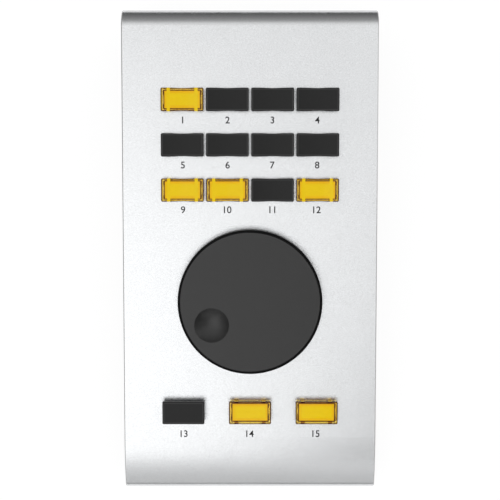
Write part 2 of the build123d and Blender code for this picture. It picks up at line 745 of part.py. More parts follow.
# Jack for a footswitch plug, held by a nut on the rear wall.
jack_face = Plane(origin=(jack_x, inner_wall, jack_z), x_dir=(-1, 0, 0), z_dir=(0, 1, 0))
bore_length = jack_length + sheet + nose_out - jack_bore_end
contact_depths = [jack_length / 2 + contact_spread / 2, jack_length / 2 - contact_spread / 2]
contact_floor = jack_bore + contact_gap
with BuildPart() as jack_body:
    with BuildSketch(jack_face):
        Rectangle(jack_width, jack_height)
    extrude(amount=-jack_length)
    with BuildSketch(jack_face):
        Circle(nose_radius)
    extrude(amount=sheet + nose_out)
    with BuildSketch(jack_face.offset(sheet + nose_out)):
        Circle(jack_bore)
    extrude(amount=-bore_length, mode=Mode.SUBTRACT)
    # Slots beside the bore for the contact springs.
    for side, depth in zip((-1, 1), contact_depths):
        with BuildSketch(jack_face.offset(-depth - contact_length / 2)):
            with Locations((side * (jack_bore + jack_width / 2) / 2, 0)):
                Rectangle(jack_width / 2 - jack_bore + contact_thickness, contact_width + 2 * contact_gap)
        extrude(amount=contact_length, mode=Mode.SUBTRACT)
save(jack_body, "jack_body")

with BuildPart() as jack_contacts:
    for side, depth in zip((-1, 1), contact_depths):
        with BuildSketch(jack_face.offset(-depth - contact_length / 2)):
            with Locations((side * (contact_floor + contact_thickness / 2), 0)):
                Rectangle(contact_thickness, contact_width)
        extrude(amount=contact_length)
        with BuildSketch(jack_face.offset(-depth - contact_length / 2)):
            with Locations((side * (contact_floor + jack_width / 2) / 2, 0)):
                Rectangle(jack_width / 2 - contact_floor, contact_width)
        extrude(amount=contact_thickness)
save(jack_contacts, "jack_contacts")

with BuildPart() as jack_nut:
    with BuildSketch(jack_face.offset(sheet)):
        RegularPolygon(jack_nut_flat / 2, 6, major_radius=False)
        Circle(nose_radius + nut_gap, mode=Mode.SUBTRACT)
    extrude(amount=jack_nut_height)
save(jack_nut, "jack_nut")

# ================================================================ ribbon and chips
io_header_y = io_rear - io_board_length + header_back
io_mouth = (io_header_y - header_depth / 2, io_board_top + header_mouth)
# The upper header sits above the lower one, its mouth on the same side.
board_header_u = (io_header_y - wheel_y + (board_bottom - header_mouth) * sin(tilt)) / cos(tilt)
board_mouth_point = panel.from_local_coords(
    (0, board_header_u - header_depth / 2, board_bottom - header_mouth)
)
board_mouth = (board_mouth_point.Y, board_mouth_point.Z)

with BuildPart() as ribbon_headers:
    with BuildSketch(Plane.XY.offset(io_board_top)):
        with Locations((usb_x, io_header_y)):
            Rectangle(header_width, header_depth)
    extrude(amount=header_height)
    with BuildSketch(panel.offset(board_bottom)):
        with Locations((usb_x, board_header_u)):
            Rectangle(header_width, header_depth)
    extrude(amount=-header_height)
    # Slots in the mouths, the ribbon's size.
    with BuildSketch(Plane(origin=(usb_x, *io_mouth), x_dir=(1, 0, 0), z_dir=(0, 1, 0))):
        Rectangle(ribbon_width + 2 * ribbon_gap, ribbon_thickness + 2 * ribbon_gap)
    extrude(amount=ribbon_plug, mode=Mode.SUBTRACT)
    with BuildSketch(Plane(origin=(usb_x, *board_mouth), x_dir=(1, 0, 0), z_dir=panel.y_dir)):
        Rectangle(ribbon_width + 2 * ribbon_gap, ribbon_thickness + 2 * ribbon_gap)
    extrude(amount=ribbon_plug, mode=Mode.SUBTRACT)
save(ribbon_headers, "ribbon_headers")

# Flat ribbon: out of the lower header towards the user, round one bend and back into the upper.
lower_end = (io_mouth[0] + ribbon_plug, io_mouth[1])
upper_end = (board_mouth[0] + ribbon_plug * cos(tilt), board_mouth[1] + ribbon_plug * sin(tilt))
# The two runs would meet in this point, far in front. The bend is the circle that touches both.
meeting = (upper_end[0] - (upper_end[1] - lower_end[1]) / tan(tilt), lower_end[1])
ribbon_bend = (io_mouth[0] - ribbon_run - meeting[0]) * tan(tilt / 2)
with BuildPart() as ribbon_cable:
    with BuildLine(Plane.YZ.offset(usb_x)):
        ribbon_path = FilletPolyline(lower_end, meeting, upper_end, radius=ribbon_bend)
    with BuildSketch(Plane(origin=ribbon_path @ 0, x_dir=(1, 0, 0), z_dir=ribbon_path % 0)):
        Rectangle(ribbon_width, ribbon_thickness)
    sweep(path=ribbon_path)
save(ribbon_cable, "ribbon_cable")

with BuildPart() as controller_chip:
    with BuildSketch(panel.offset(board_bottom)):
        with Locations(controller_place):
            Rectangle(controller_size, controller_size)
    extrude(amount=-controller_height)
save(controller_chip, "controller_chip")

with BuildPart() as small_parts:
    with BuildSketch(panel.offset(board_bottom)):
        with Locations(small_parts_place):
            with GridLocations(small_part_pitch, small_part_pitch, 3, 3):
                Rectangle(*small_part)
    extrude(amount=-small_part_height)
save(small_parts, "small_parts")
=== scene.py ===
# %% [markdown]
# # A desktop controller for studio monitors
# The object is a bent silver cover over a black tray. It carries fifteen backlit keys and one
# large jog wheel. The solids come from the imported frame, in metres. This script gives each of
# them its finish, and models what a solid is too plain for: the rubber feet, the screws of the
# tray, the nut of the jack, the springs under the keys and the printed numbers.

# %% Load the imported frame
import json
from math import cos, pi, radians, sin

import bmesh
import bpy
import numpy as np
from mathutils import Matrix, Vector

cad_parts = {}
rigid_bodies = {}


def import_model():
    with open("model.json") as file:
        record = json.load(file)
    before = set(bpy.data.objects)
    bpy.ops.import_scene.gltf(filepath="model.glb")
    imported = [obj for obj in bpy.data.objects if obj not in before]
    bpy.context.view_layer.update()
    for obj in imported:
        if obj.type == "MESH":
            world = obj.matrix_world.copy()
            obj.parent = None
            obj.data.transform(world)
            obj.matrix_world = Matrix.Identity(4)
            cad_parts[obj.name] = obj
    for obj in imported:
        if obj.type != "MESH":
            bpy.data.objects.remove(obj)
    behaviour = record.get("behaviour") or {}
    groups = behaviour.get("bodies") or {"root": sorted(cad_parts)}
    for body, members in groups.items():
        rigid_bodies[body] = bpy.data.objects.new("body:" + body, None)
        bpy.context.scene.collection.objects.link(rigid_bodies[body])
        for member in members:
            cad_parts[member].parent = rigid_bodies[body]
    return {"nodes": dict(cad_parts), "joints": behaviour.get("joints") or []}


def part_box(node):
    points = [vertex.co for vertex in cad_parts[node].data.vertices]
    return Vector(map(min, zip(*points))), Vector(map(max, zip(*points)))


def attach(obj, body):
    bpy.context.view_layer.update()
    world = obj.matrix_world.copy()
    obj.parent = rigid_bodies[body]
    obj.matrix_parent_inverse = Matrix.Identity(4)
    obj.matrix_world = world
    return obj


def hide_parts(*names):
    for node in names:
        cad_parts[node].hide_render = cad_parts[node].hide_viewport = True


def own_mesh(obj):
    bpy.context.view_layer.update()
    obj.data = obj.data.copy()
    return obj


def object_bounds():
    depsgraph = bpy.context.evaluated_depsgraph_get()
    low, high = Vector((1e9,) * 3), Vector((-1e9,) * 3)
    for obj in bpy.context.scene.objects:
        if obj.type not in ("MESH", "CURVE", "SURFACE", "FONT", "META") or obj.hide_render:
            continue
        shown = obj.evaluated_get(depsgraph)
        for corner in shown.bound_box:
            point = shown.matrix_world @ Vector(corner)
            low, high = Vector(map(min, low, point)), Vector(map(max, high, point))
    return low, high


for leftover in list(bpy.data.objects):
    bpy.data.objects.remove(leftover)
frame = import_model()
nodes = frame["nodes"]
cad_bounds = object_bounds()
print("solids:", len(nodes), "box:", cad_bounds)

# %% [markdown]
# ## The panel's own directions
# Almost everything sits on a panel that slopes to the user. The wheel's hinge says where the
# panel is: its axis stands square on the panel. Places are given in millimetres as x, the
# distance up the slope and the height out of the panel, and one function turns them into metres.

# %% From panel millimetres to metres
MM = 0.001
spin = next(joint for joint in frame["joints"] if joint["name"] == "wheel_spin")
wheel_centre = np.array(spin["pos_m"], float)
outward = np.array(spin["axis"], float) / np.linalg.norm(spin["axis"])
rightward = np.array([1.0, 0.0, 0.0])
upslope = np.cross(outward, rightward)


def on_panel(places):
    """Places (x, up the slope, out) in mm, turned into metres: the wheel's centre plus each of the
    three amounts along its own direction."""
    places = np.asarray(places, float) * MM
    return wheel_centre + places @ np.stack([rightward, upslope, outward])


key_pitch, lower_pitch = 19.0, 28.5
row_heights, lower_row = (85.3, 66.3, 47.3), -47.95
key_spots = [(key_pitch * (column - 1.5), row) for row in row_heights for column in range(4)]
key_spots += [(lower_pitch * side, lower_row) for side in (-1, 0, 1)]
lit_keys = (1, 9, 10, 12, 14, 15)
# The first and the last key, as a check: the middle of the cap's box against the place worked out.
for number in (1, 15):
    low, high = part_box(f"key_{number}_cap")
    x, slope = key_spots[number - 1]
    print("key", number, "solid", (low + high) / 2, "place", on_panel((x, slope, 4.0)))

# %% [markdown]
# ## Camera
# The view is from almost straight above, a little over half a metre away, so the far end of the
# sloping panel looks wider than the near end. A camera looks along its own -Z, so its matrix is
# built from the direction that it looks in and the direction that is up in the picture.

# %% Camera
camera_height, camera_slope = 510.5, 63.77
camera_lean = radians(4.72)
camera = bpy.data.objects.new("camera", bpy.data.cameras.new("camera"))
camera.data.lens, camera.data.sensor_width = 86.4, 36.0
camera.data.clip_start, camera.data.clip_end = 0.01, 20
backward = cos(camera_lean) * outward + sin(camera_lean) * upslope
picture_up = np.cross(backward, rightward)
turn = Matrix([list(row) for row in np.stack([rightward, picture_up, backward], axis=1)])
camera.matrix_world = Matrix.Translation(on_panel((0, camera_slope, camera_height))) @ turn.to_4x4()
bpy.context.scene.collection.objects.link(camera)
bpy.context.scene.camera = camera
print("camera:", camera_height, "mm out of the panel, lens", camera.data.lens, "mm")

# %% [markdown]
# ## Shader maths
# A finish is a small tree of nodes round one Principled shader. Adding the nodes by hand is
# long-winded, so a `Value` stands for one output of a node, and Python's operators on it add the
# Math nodes. Patterns read Object coordinates, which are metres here, so a grain of 0.4 mm is a
# noise scale of 1000 / 0.4.

# %% Values and finishes


class Value:
    """One number that a shader node gives. Each operator adds a Math node that works it out."""

    def __init__(self, shading, socket):
        self.shading, self.socket = shading, socket

    def math(self, operation, *numbers):
        return self.shading.node("Math", {"operation": operation}, dict(enumerate(numbers)))

    def __add__(self, other):
        return self.math("ADD", self, other)

    def __mul__(self, other):
        return self.math("MULTIPLY", self, other)

    def __sub__(self, other):
        return self.math("SUBTRACT", self, other)

    def __rsub__(self, other):
        return self.math("SUBTRACT", other, self)

    def __gt__(self, other):
        return self.math("GREATER_THAN", self, other)

    def __lt__(self, other):
        return self.math("LESS_THAN", self, other)

    def __abs__(self):
        return self.math("ABSOLUTE", self)

    def ramp(self, low, high):
        """0 below low, 1 above high and straight between them."""
        limits = {"Value": self, "From Min": low, "From Max": high}
        return self.shading.node("MapRange", {"clamp": True}, limits)

    __radd__, __rmul__ = __add__, __mul__


class Shading:
    """A tree of shader nodes that numbers, links and nodes are added to."""

    def __init__(self, tree):
        self.tree = tree

    def node(self, kind, settings, values, output=0):
        """Adds a node: first its settings, then a number or a link for each of its sockets."""
        made = self.tree.nodes.new("ShaderNode" + kind)
        for name, setting in settings.items():
            setattr(made, name, setting)
        self.feed(made, values)
        return Value(self, made.outputs[output])

    def feed(self, node, values):
        """Links each Value into its socket, and writes each plain number or colour on it."""
        for name, value in values.items():
            if isinstance(value, Value):
                self.tree.links.new(value.socket, node.inputs[name])
            else:
                node.inputs[name].default_value = value


class Finish(Shading):
    """A material with one Principled shader. Names in `fixed` are that shader's own sockets."""

    def __init__(self, name, fixed):
        self.material = bpy.data.materials.new(name)
        self.material.use_nodes = True
        super().__init__(self.material.node_tree)
        self.shader = self.tree.nodes["Principled BSDF"]
        self.feed(self.shader, fixed)
        self.place = self.node("TexCoord", {}, {}, "Object")

    def paint(self, **sockets):
        """Feeds the Principled shader. Base_Color stands for the socket Base Color."""
        self.feed(self.shader, {name.replace("_", " "): value for name, value in sockets.items()})

    def grain(self, size, detail=2.0):
        """Noise from 0 to 1 whose blobs are about `size` millimetres across."""
        settings = {"Vector": self.place, "Scale": 1000 / size, "Detail": detail}
        return self.node("TexNoise", {}, settings)

    def streaks(self, length, width, detail=2.0):
        """Noise from 0 to 1 drawn out along X, as brushing leaves it. Sizes in millimetres."""
        scales = {"Vector": self.place, "Scale": (1000 / length, 1000 / width, 1000 / width)}
        settings = {"Vector": self.node("Mapping", {}, scales), "Scale": 1.0, "Detail": detail}
        return self.node("TexNoise", {}, settings)

    def axis(self, name):
        """One of X, Y and Z of the place, in millimetres."""
        return self.node("SeparateXYZ", {}, {"Vector": self.place}, name) * 1000.0

    def mix(self, share, low, high):
        """A colour that goes from low to high as share goes from 0 to 1."""
        colours = {0: share, 6: low, 7: high}
        return self.node("Mix", {"data_type": "RGBA"}, colours, 2)

    def bump(self, height, depth, strength=1.0):
        """Makes the shader's normal follow a height that is `depth` millimetres deep."""
        levels = {"Height": height, "Distance": depth * MM, "Strength": strength}
        self.paint(Normal=self.node("Bump", {}, levels, "Normal"))


def grey(level, warm=0.0):
    """A grey colour, a little warmer or cooler."""
    return (level * (1 + warm), level, level * (1 - warm), 1.0)


def dress(finish, *names):
    """Puts a finish on CAD nodes."""
    for name in names:
        nodes[name].data.materials.clear()
        nodes[name].data.materials.append(finish.material)
    print(finish.material.name, "on", *names)


# %% [markdown]
# ## Silver coat of the cover
# The cover is an aluminium sheet under a metallic silver coat. Its flakes give a very fine grain
# that is just visible, and it's satin: bright where it mirrors the lamps and the pale room, and
# darker in the bends, which mirror other things. Most of the light comes from a metal layer and a
# little from a matt one, which is what the Metallic socket at 0.92 does.
#
# The sheet was brushed very finely from side to side before it was coated. The bump map draws that
# as short streaks along X. They tip the surface up and down the slope but hardly sideways, so what
# the metal mirrors is drawn out along the slope. A mask on X paints a thin strip along each side
# edge a darker grey: painted shade of the edge break.

# %% Silver coat
silver = Finish("silver_coat", {"Metallic": 0.92, "Specular IOR Level": 0.3})
flakes = silver.grain(0.55, 3.0)
cloud = silver.grain(14.0)
shine = flakes * 0.05 + cloud * 0.02
speckle = (flakes * 0.85 + cloud * 0.15).ramp(0.3, 0.7)
coat = silver.mix(speckle, grey(0.68, -0.014), grey(0.77, -0.014))
# A darker grey strip along each side edge is painted shade of the edge break.
case_half_width, edge_shade_width = cad_bounds[1][0] / MM, 0.34
side_edge_shade = abs(silver.axis("X")) > case_half_width - edge_shade_width
silver.paint(Base_Color=silver.mix(side_edge_shade, coat, grey(0.45)), Roughness=shine + 0.155)
silver.bump(silver.streaks(0.7, 0.06, 1.0), 0.020)
dress(silver, "top_cover")

# %% [markdown]
# ## Black parts of the case
# The steel tray has a black powder coat, which dries with a fine orange-peel texture. The feet
# are rubber with a little grey dust in their pores. The screws are blackened steel that shows
# bright metal where a driver has rubbed it. Each is a dark base with its own noise: what tells
# black things apart is mostly how rough they are.

# %% Powder coat, rubber and blackened steel
powder = Finish("black_powder", {"Specular IOR Level": 0.45})
peel = powder.grain(0.7, 3.0)
powder_tone = powder.mix(peel.ramp(0.35, 0.7), grey(0.018), grey(0.034))
powder.paint(Base_Color=powder_tone, Roughness=peel * 0.25 + 0.42)
powder.bump(peel, 0.05, 0.7)
dress(powder, "base_tray")

rubber = Finish("foot_rubber", {"Specular IOR Level": 0.3})
pores, dust = rubber.grain(0.25, 4.0), rubber.grain(3.0)
rubber.paint(
    Base_Color=rubber.mix(dust.ramp(0.45, 0.75), grey(0.02), grey(0.05, 0.03)),
    Roughness=pores * 0.15 + 0.75,
)
rubber.bump(pores, 0.03, 0.6)

blackened = Finish("blackened_steel", {"Metallic": 0.8})
rubbed = blackened.grain(0.6, 4.0).ramp(0.6, 0.72)
steel_tone = blackened.mix(rubbed, grey(0.03), grey(0.3))
blackened.paint(Base_Color=steel_tone, Roughness=rubbed * -0.1 + 0.45)
blackened.bump(blackened.grain(0.2), 0.01, 0.5)

# %% [markdown]
# ## Jog wheel
# A black ring carries a dark grey inlay with a soft-touch surface and a hollow for a fingertip.
# The ring is moulded with a fine grain and mirrors almost nothing, so it looks blacker than the
# inlay: its specular level is close to zero. Soft-touch lacquer has a grain of its own and a soft
# sheen that shows the hollow. A slow noise makes the sheen wander, as fingers leave it.

# %% Wheel finishes
wheel_black = Finish("wheel_black", {"Specular IOR Level": 0.06})
moulding = wheel_black.grain(0.4, 3.0)
wheel_tone = wheel_black.mix(moulding.ramp(0.3, 0.7), grey(0.003), grey(0.006))
wheel_black.paint(Base_Color=wheel_tone, Roughness=moulding * 0.12 + 0.4)
wheel_black.bump(moulding, 0.008, 0.4)
dress(wheel_black, "wheel_body")

soft_touch = Finish("soft_touch", {"Specular IOR Level": 0.55})
fine, smear = soft_touch.grain(0.35, 3.0), soft_touch.grain(9.0)
soft_shade = (fine * 0.7 + smear * 0.3).ramp(0.3, 0.7)
soft_tone = soft_touch.mix(soft_shade, grey(0.007, 0.01), grey(0.012, 0.01))
soft_touch.paint(Base_Color=soft_tone, Roughness=fine * 0.1 + smear * 0.06 + 0.3)
soft_touch.bump(fine, 0.015, 0.5)
dress(soft_touch, "wheel_inlay")

# %% [markdown]
# ## Keys
# Each cap is a clear or smoked shell over a milky light pad. On a lit key the pad glows yellow and
# the amber shell tints it. The shell's outer edge turns away so sharply that it looks dark brown,
# and that dark brown edge is painted into the base colour as painted shade. Just inside it, a faint
# emission in the wall is a painted glow for the pad's light that the wall carries.
# On the twelve upper keys the painted edge shade leaves out the pad's four lugs at the long sides,
# so that they shine through, and on the lowest three it covers them. The pad itself has a painted
# brown line round its top, which is wider at its ends: painted shade of the narrow gap between the
# pad and the cap's wall. The smoked caps hide their pads: they are plain dark plastic, with a paler
# line just inside the edge that is a painted highlight of the rounded edge.
#
# All this depends on the place within one key. The keys stand on even pitches, so one finish serves
# them all: the distance to the nearest key's middle is the place, folded over one pitch.

# %% Places within a key
cap_half_length, cap_half_depth = 9.0, 4.9
pad_half_length, pad_half_depth = 8.1, 4.0
lug_middle, lug_half_width = 5.85, 0.7


def folded(place, start, pitch):
    """Distance from the nearest of the places start + whole number x pitch, always positive."""
    turns = (place - start) * (1 / pitch) + 0.5
    return abs(turns.math("FRACT", turns) - 0.5) * pitch


def within_key(finish, lower):
    """Distances in mm from the middle of the nearest key: along its length and along its depth."""
    directions = {0: finish.place, 1: upslope}
    uphill = finish.node("VectorMath", {"operation": "DOT_PRODUCT"}, directions, "Value")
    x, slope = finish.axis("X"), uphill * 1000.0 - float(wheel_centre @ upslope) / MM
    if lower:
        return folded(x, 0.0, lower_pitch), abs(slope - lower_row)
    return folded(x, key_pitch / 2, key_pitch), folded(slope, row_heights[0], key_pitch)


def beside_lugs(along, lower):
    """0 over the lugs of an upper key, and 1 elsewhere and on the lowest keys."""
    return 1.0 if lower else abs(along - lug_middle) > lug_half_width


# %% Amber caps
# The dark brown edge is painted shade, and the glow in the wall is painted light from the pad.
edge_width, wall_width = 0.45, 0.8
edge_shade_brown, painted_wall_glow = (0.03, 0.006, 0.001, 1), (0.030, 0.007, 0.0, 1)


def amber_cap(lower):
    """Clear amber, with a dark brown outer edge that is painted shade, and a faint painted glow in
    the wall inside that edge that stands in for the pad's light.
    """
    clear = {"Transmission Weight": 1.0, "IOR": 1.25, "Specular IOR Level": 0.2}
    finish = Finish("amber_cap", clear | {"Emission Strength": 1.0})
    along, over = within_key(finish, lower)
    at_side = beside_lugs(along, lower)

    def border(width):
        """1 within `width` mm of the cap's ends, and of its long sides except over the lugs."""
        side, end = (over > cap_half_depth - width) * at_side, along > cap_half_length - width
        return side.math("MAXIMUM", side, end)

    # Masks for the painted edge shade and for the painted wall glow just inside it.
    painted_edge_shade, painted_glow_zone = border(edge_width), border(wall_width)
    cloud = finish.grain(2.5)
    tint = finish.mix(cloud, (1.0, 0.80, 0.20, 1), (1.0, 0.83, 0.24, 1))
    finish.paint(
        Base_Color=finish.mix(painted_edge_shade, tint, edge_shade_brown),
        Roughness=cloud * 0.04 + 0.06,
        Emission_Color=finish.mix(painted_glow_zone * (1 - painted_edge_shade), (0, 0, 0, 1), painted_wall_glow),
    )
    return finish


# %% Smoked caps
# A paler line just inside the edge is a painted highlight of the rounded edge.
highlight_inset, highlight_half_width, highlight_share = 0.6, 0.2, 0.8


def smoked_cap(lower):
    """Dark plastic with a fine haze, and a paler thin line just inside the edge that is a painted
    highlight.
    """
    finish = Finish("smoked_cap", {"Specular IOR Level": 0.15})
    along, over = within_key(finish, lower)
    from_end, from_side = cap_half_length - along, cap_half_depth - over
    inside = from_end.math("MINIMUM", from_end, from_side)
    painted_highlight = (abs(inside - highlight_inset) < highlight_half_width) * highlight_share
    haze = finish.grain(0.5, 3.0)
    dark = finish.mix(haze, grey(0.013), grey(0.019))
    finish.paint(Base_Color=finish.mix(painted_highlight, dark, grey(0.045)), Roughness=haze * 0.1 + 0.3)
    finish.bump(haze, 0.004, 0.4)
    return finish


# %% Light pads
# The brown line round the pad's top is painted shade of the gap between the pad and the cap's wall.
gap_line_width, end_gap_line_width, fade_width, fade_share = 0.36, 0.6, 1.5, 0.8
gap_shade_brown, gap_shade_glow, edge_orange = (0.1, 0.03, 0.0, 1), (0.05, 0.008, 0.0, 1), (1.0, 0.50, 0.0, 1)


def light_pad(lower):
    """Milky yellow that glows, more orange near its edge, with a brown line round its top that is
    painted shade of the gap between the pad and the cap's wall.
    """
    finish = Finish("lit_pad", {"Emission Strength": 0.58, "Roughness": 0.6})
    along, over = within_key(finish, lower)
    at_side = beside_lugs(along, lower)
    from_end, from_side = pad_half_length - along, pad_half_depth - over
    side_gap_shade, end_gap_shade = (abs(from_side) < gap_line_width) * at_side, from_end < end_gap_line_width
    painted_gap_shade = side_gap_shade.math("MAXIMUM", side_gap_shade, end_gap_shade)
    inside = from_end.math("MINIMUM", from_end, from_side)
    near_edge = 1 - inside.ramp(gap_line_width, gap_line_width + fade_width)
    milk = finish.grain(1.5)
    body = finish.mix(milk, (0.32, 0.29, 0.005, 1), (0.38, 0.34, 0.01, 1))
    glow = finish.mix(milk, (1.0, 0.85, 0.0, 1), (1.0, 0.91, 0.0, 1))
    glow = finish.mix(near_edge * at_side * fade_share, glow, edge_orange)
    finish.paint(
        Base_Color=finish.mix(painted_gap_shade, body, gap_shade_brown),
        Emission_Color=finish.mix(painted_gap_shade, glow, gap_shade_glow),
    )
    return finish


# %% Caps and pads on their keys
dark_pad = Finish("dark_pad", {"Roughness": 0.6})
dark_pad.paint(Base_Color=dark_pad.mix(dark_pad.grain(1.5), grey(0.04), grey(0.06)))
for lower in (False, True):
    row = [n for n, (x, slope) in enumerate(key_spots, start=1) if (slope == lower_row) == lower]
    lit, unlit = [n for n in row if n in lit_keys], [n for n in row if n not in lit_keys]
    dress(amber_cap(lower), *(f"key_{number}_cap" for number in lit))
    dress(smoked_cap(lower), *(f"key_{number}_cap" for number in unlit))
    dress(light_pad(lower), *(f"key_{number}_plunger" for number in lit))
    dress(dark_pad, *(f"key_{number}_plunger" for number in unlit))

# %% [markdown]
# ## Inside the case
# Nobody sees the boards until the tray is off, but they are finished all the same: green solder
# mask over faint copper tracks, turned brass, bright zinc, gilt contacts, black and white plastics.
# The same few patterns serve for all of them, and later for the nut and the springs too.

# %% Metals and plastics


def metal(name, low, high, rough, grain_size=0.8):
    """A bare metal whose colour and gloss wander a little with a fine noise."""
    finish = Finish(name, {"Metallic": 1.0})
    wander = finish.grain(grain_size, 3.0)
    finish.paint(Base_Color=finish.mix(wander, low, high), Roughness=wander * 0.15 + rough)
    finish.bump(wander, 0.006, 0.4)
    return finish


def plastic(name, low, high, rough, grain_size=0.5):
    """A moulded plastic with a fine spark-eroded grain."""
    finish = Finish(name, {"Specular IOR Level": 0.4})
    moulded = finish.grain(grain_size, 3.0)
    finish.paint(Base_Color=finish.mix(moulded, low, high), Roughness=moulded * 0.12 + rough)
    finish.bump(moulded, 0.01, 0.4)
    return finish


# %% What the inner pieces are made of
board = Finish("board_green", {"Specular IOR Level": 0.5})
tracks = board.node("TexWave", {}, {"Vector": board.place, "Scale": 140.0, "Distortion": 6.0})
mask = tracks.ramp(0.55, 0.62)
board.paint(
    Base_Color=board.mix(mask, (0.006, 0.055, 0.022, 1), (0.014, 0.105, 0.042, 1)),
    Roughness=mask * 0.1 + 0.3,
)
board.bump(mask, 0.03, 0.5)
dress(board, "main_board", "io_board")

zinc = metal("zinc_steel", grey(0.5, 0.01), grey(0.65, 0.02), 0.22)
dress(zinc, "board_screws", "io_screws", "wheel_screw")
brass = metal("turned_brass", (0.62, 0.46, 0.2, 1), (0.78, 0.62, 0.32, 1), 0.22)
dress(brass, "board_pillars", "io_pillars", "encoder_bush")
ground = metal("ground_steel", grey(0.46), grey(0.6), 0.2)
dress(ground, "encoder_shaft", "code_disc")
gold = metal("contact_gold", (0.8, 0.58, 0.2, 1), (0.95, 0.72, 0.3, 1), 0.18)
dress(gold, "usb_contacts", "jack_contacts")
tin = metal("tin_plate", grey(0.5), grey(0.64), 0.24, 1.6)
dress(tin, "usb_shell")

black_plastic = plastic("black_plastic", grey(0.012), grey(0.022), 0.38)
dress(black_plastic, "switch_housings", "controller_chip", "jack_body", "encoder_body")
header_plastic = plastic("header_plastic", grey(0.07), grey(0.1), 0.4)
dress(header_plastic, "ribbon_headers")
white_plastic = plastic("socket_plastic", grey(0.62, 0.02), grey(0.72, 0.02), 0.35)
dress(white_plastic, "usb_insert")
lens_plastic = plastic("led_lens", (0.8, 0.74, 0.4, 1), (0.9, 0.86, 0.6, 1), 0.2)
dress(lens_plastic, "key_leds")

# %% Ribbon cable and small parts
# A flat ribbon is many round wires side by side, the first one marked red. Each wire is painted
# paler on its crown and darker where it meets the next: painted shade.
ribbon = Finish("ribbon_grey", {"Roughness": 0.5})
wire_pitch, ribbon_edge = 1.27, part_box("ribbon_cable")[0][0] / MM
across = (ribbon.axis("X") - ribbon_edge) * (1 / wire_pitch)
crown = across.math("PINGPONG", across, 0.5) * 2.0
first = across < 1.0
# Painted shade: paler on each wire's crown, darker between the wires.
shade = ribbon.mix(crown, grey(0.2), grey(0.42))
ribbon.paint(Base_Color=ribbon.mix(first, shade, (0.4, 0.02, 0.02, 1)))
ribbon.bump(crown, 0.3, 1.0)
dress(ribbon, "ribbon_cable")

# The small parts are ceramic blocks with tinned ends, three to a row.
ceramic = Finish("ceramic_parts", {"Roughness": 0.4})
part_pitch, part_half, body_half = 9.0, 1.6, 1.1
row_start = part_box("small_parts")[0][0] / MM + part_half
step = (ceramic.axis("X") - row_start) * (1 / part_pitch) + 0.5
from_middle = abs(step.math("FRACT", step) - 0.5) * part_pitch
tinned = from_middle > body_half
ceramic.paint(
    Base_Color=ceramic.mix(tinned, (0.3, 0.2, 0.12, 1), grey(0.6)), Metallic=tinned * 0.9
)
dress(ceramic, "small_parts")

# %% [markdown]
# ## A mesh from rings
# Feet, screws and the nut are all rings of points stacked along an axis. A foot's rings are
# circles whose radius changes with height, a socket screw has hexagons inside its head, and a
# thread adds a small wave that turns with the angle. So one function makes a closed mesh from an
# array of rings, and the pieces only work out radii and heights.

# %% Rings into a mesh
around = 72
turn_angles = np.linspace(0, 2 * pi, around, endpoint=False)


def hexagon(across_flats, angles=turn_angles):
    """Radius at each angle: half the width across the flats / cos(angle to the nearest flat)."""
    return across_flats / 2 / np.cos((angles + pi / 6) % (pi / 3) - pi / 6)


def ring_faces(count, points):
    """Quads between `count` rings of `points` points. Each joins two neighbours on one ring, which
    are point k and point k + 1, to the same two on the next ring."""
    start = np.arange(count - 1)[:, None] * points
    here, beside = start + np.arange(points), start + (np.arange(points) + 1) % points
    return np.stack([here, beside, beside + points, here + points], -1).reshape(-1, 4)


def turned(name, radii, heights, places, along, finish, body, node):
    """Rings of `radii` (ring, angle) and `heights` mm along an axis, repeated at places in mm.
    A point is place + along x height + radius x (cos side + sin other). The ends close where
    the first and last rings have no radius, or where they are one and the same ring."""
    along = np.asarray(along, float)
    side = np.cross([1.0, 0.0, 0.0], along)
    other = np.cross(along, side)
    radii = np.array([np.broadcast_to(ring, around) for ring in radii])
    heights = np.array([np.broadcast_to(ring, around) for ring in heights])[..., None]
    spokes = np.cos(turn_angles)[:, None] * side + np.sin(turn_angles)[:, None] * other
    rings = (radii[..., None] * spokes + heights * along).reshape(-1, 3)
    points = (np.asarray(places)[:, None, :] + rings).reshape(-1, 3) * MM
    quads = ring_faces(len(radii), around)
    faces = np.concatenate([quads + copy * len(rings) for copy in range(len(places))])
    mesh = bpy.data.meshes.new(name)
    mesh.from_pydata(points.tolist(), [], faces.tolist())
    merge = bmesh.new()
    merge.from_mesh(mesh)
    bmesh.ops.remove_doubles(merge, verts=merge.verts, dist=1e-7)
    bmesh.ops.dissolve_degenerate(merge, dist=1e-7, edges=merge.edges)
    bmesh.ops.recalc_face_normals(merge, faces=merge.faces)
    merge.to_mesh(mesh)
    merge.free()
    mesh.materials.append(finish.material)
    mesh.shade_smooth()
    mesh.set_sharp_from_angle(angle=radians(32))
    piece = bpy.data.objects.new(name, mesh)
    bpy.context.scene.collection.objects.link(piece)
    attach(piece, body)
    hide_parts(node)
    print(name, "faces:", len(mesh.polygons))


def four_corners(low, high, inset):
    """The four places on the desk, in mm, that lie `inset` inside the corners of a box."""
    sides, ends = (low[0] + inset, high[0] - inset), (low[1] + inset, high[1] - inset)
    return [(x, y, 0.0) for x in sides for y in ends]


def rounded(radius, height, size, start, stop, steps=5):
    """Radii and heights along a quarter round with its centre at (radius, height)."""
    angles = np.radians(np.linspace(start, stop, steps))
    return list(radius + size * np.cos(angles)), list(height + size * np.sin(angles))


# %% [markdown]
# ## Rubber feet
# Each foot is a moulded disc with a plug that is pressed through the tray. Its underside has a
# hollow, and fine ring grooves that grip the desk. The profile below is a list of short stretches
# of radii and heights. It goes from the middle of the hollow, over the ring that stands on the
# desk and up the side to the tip of the plug.

